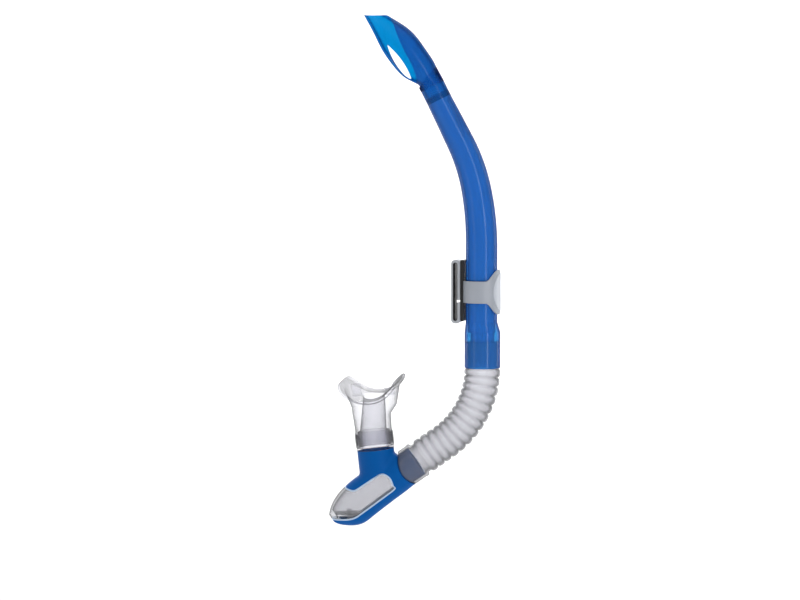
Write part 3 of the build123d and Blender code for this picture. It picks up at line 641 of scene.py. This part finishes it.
# ---------------------------------------------------------------- keeper
KEEPER_TURN = radians(-10)
KEEPER_OUT = Vector((cos(KEEPER_TURN), sin(KEEPER_TURN), 0))
KEEPER_DEPTH = Vector((-sin(KEEPER_TURN), cos(KEEPER_TURN), 0))
BAND_IN_R, BAND_OUT_R, BAND_HALF_H, WING_HALF_H = 13.6, 14.9, 8.8, 18.1
WING_FROM, WING_TO = 6.0, 15.4
BAND_EDGE, BAND_SIDES = 0.55, 160


def wing_height(x):
    """Half height of the band at x, where it flares into the wings."""
    t = min(max((x - WING_FROM) / (WING_TO - WING_FROM), 0), 1)
    return BAND_HALF_H + (WING_HALF_H - BAND_HALF_H) * t * t * (3 - 2 * t)


def band_section(angle):
    """Rounded outline of the band, cut at this angle."""
    half = wing_height(BAND_OUT_R * cos(angle))
    way = KEEPER_OUT * cos(angle) + KEEPER_DEPTH * sin(angle)
    outline = rounded_box(BAND_IN_R, BAND_OUT_R, -half, half, BAND_EDGE, 4)
    return [way * r + Vector((0, 0, z)) for r, z in outline]


def keeper_band():
    """Band round the sleeve, with its two wings."""
    rings = [band_section(a) for a in circle_angles(BAND_SIDES)]
    band = skin_mesh("keeper_wings", rings, MATERIALS["keeper_band"])
    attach(band, "keeper")
    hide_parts("keeper_band")


SLOT_LEFT, SLOT_RIGHT, SLOT_LOW, SLOT_HIGH, SLOT_CORNER_R = -22.0, -18.4, -23.2, 23.4, 1.6
SLOT_MIDDLE_X, SLOT_HALF_W = (SLOT_LEFT + SLOT_RIGHT) / 2, (SLOT_RIGHT - SLOT_LEFT) / 2
BAR_GAP_LOW, BAR_GAP_HIGH = -8.6, -6.4            # the gap in the inner bar
LINER_FRONT, LINER_BACK, LINER_HALF_D = 0.3, 0.8, 6.6            # the lining is thicker at its back


def buckle_liner():
    """Thin black lining of the strap slot, open at the gap in the inner bar; it makes the inside of the slot
    dark.
    """
    path = [(SLOT_RIGHT, BAR_GAP_HIGH)]
    path += rounded_box(SLOT_LEFT, SLOT_RIGHT, SLOT_LOW, SLOT_HIGH, SLOT_CORNER_R, 6)
    path.append((SLOT_RIGHT, BAR_GAP_LOW))
    section = ((0, -LINER_HALF_D), (0, LINER_HALF_D),
               (LINER_BACK, LINER_HALF_D), (LINER_FRONT, -LINER_HALF_D))
    rings = []
    for x, z in path:
        end = max(-1, min(1, z / SLOT_HIGH)) ** 9        # near 0 except at the slot's two ends
        ring = []
        for thick, depth in section:
            inward = (SLOT_MIDDLE_X - x) / SLOT_HALF_W * thick
            ring.append(KEEPER_OUT * (x + inward) + KEEPER_DEPTH * depth + Vector((0, 0, z - end * thick)))
        rings.append(ring)
    liner = skin_mesh("buckle_liner", rings, MATERIALS["buckle_body"], loop=False)
    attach(liner, "keeper")


keeper_band()
buckle_liner()


# ---------------------------------------------------------------- stage, lights and camera (metres)
FLOOR_Z, FLOOR_FRONT_Y, WALL_Y, WALL_TOP, STAGE_HALF_W, STAGE_BEND_R = -0.26, -4.0, 3.3, 4.0, 4.5, 0.6


def stage_material():
    n = Nodes("studio_white")
    speck = n.noise(3, 2)
    tone = n.ramp(speck, [(0.3, (0.9, 0.9, 0.9)), (0.7, (0.92, 0.92, 0.92))])
    return n.finish(n.principled(tone, n.range(speck, 0.75, 0.85)))


def backdrop():
    """Floor that curves up into a wall behind the object."""
    bend_y = WALL_Y - STAGE_BEND_R
    outline = [(FLOOR_FRONT_Y, FLOOR_Z), (bend_y, FLOOR_Z)]
    outline += arc_points(bend_y, FLOOR_Z + STAGE_BEND_R, STAGE_BEND_R, -85, 0, 16)
    outline.append((WALL_Y, WALL_TOP))
    mesh = bmesh.new()
    rows = [[mesh.verts.new((x, y, z)) for x in (-STAGE_HALF_W, STAGE_HALF_W)] for y, z in outline]
    for low, high in zip(rows, rows[1:]):
        mesh.faces.new((low[0], low[1], high[1], high[0])).smooth = True
    data = bpy.data.meshes.new("backdrop")
    mesh.to_mesh(data)
    mesh.free()
    thing = bpy.data.objects.new("backdrop", data)
    data.materials.append(stage_material())
    bpy.context.scene.collection.objects.link(thing)


def lamp(name, place, aim, size, power):
    """Soft white area light that the camera doesn't see."""
    data = bpy.data.lights.new(name, "AREA")
    data.shape = "RECTANGLE"
    data.size, data.size_y = size
    data.energy = power
    thing = bpy.data.objects.new(name, data)
    thing.visible_camera = False
    thing.location = place
    thing.rotation_euler = (Vector(aim) - Vector(place)).to_track_quat("-Z", "Y").to_euler()
    bpy.context.scene.collection.objects.link(thing)


backdrop()
middle = (cad_low + cad_high) / 2
lamp("key_right", (0.62, -0.95, 0.2), middle, (0.1, 1.0), 4.5)
lamp("fill_left", (-1.0, -0.75, 0.25), middle, (0.35, 1.1), 2.2)
lamp("rim_right", (0.95, 0.45, 0.1), middle, (0.2, 1.0), 2.5)
lamp("rim_left", (-0.95, 0.5, 0.2), middle, (0.2, 1.0), 2)
lamp("top", (0, -0.2, 1.5), middle, (1.6, 1.2), 2.5)
lamp("wall_wash", (0, 2.2, 1.9), (0, WALL_Y, 0.1), (3.4, 0.5), 60)
lamp("floor_wash", (0, -0.3, 1.9), (0, 0.9, FLOOR_Z), (2.6, 0.5), 9)
lamp("floor_wash_far", (0, 1.1, 1.9), (0, 1.9, FLOOR_Z), (3.0, 0.5), 22)

AMBIENT_LIGHT = 0.34
world = bpy.data.worlds.new("studio")
world.use_nodes = True
world.node_tree.nodes["Background"].inputs["Color"].default_value = (1, 1, 1, 1)
world.node_tree.nodes["Background"].inputs["Strength"].default_value = AMBIENT_LIGHT
bpy.context.scene.world = world

VIEW_WIDTH = 640              # millimetres across the camera's view, at the object
CAMERA_AZIMUTH, CAMERA_ELEVATION = 2.0, 3.5
AIM = (-65.2, 0, -6.8)        # millimetres
camera_data = bpy.data.cameras.new("camera")
camera_data.lens, camera_data.sensor_width = 150, 36
camera_data.clip_end = 20
camera = bpy.data.objects.new("camera", camera_data)
distance = VIEW_WIDTH * MM * camera_data.lens / camera_data.sensor_width
azimuth, elevation = radians(CAMERA_AZIMUTH), radians(CAMERA_ELEVATION)
back = Vector((sin(azimuth) * cos(elevation), -cos(azimuth) * cos(elevation), sin(elevation)))
camera.location = Vector(AIM) * MM + back * distance
camera.rotation_euler = (-back).to_track_quat("-Z", "Y").to_euler()
bpy.context.scene.collection.objects.link(camera)
bpy.context.scene.camera = camera

bpy.context.scene.view_settings.view_transform = "Standard"
bpy.context.scene.cycles.transparent_max_bounces = 48
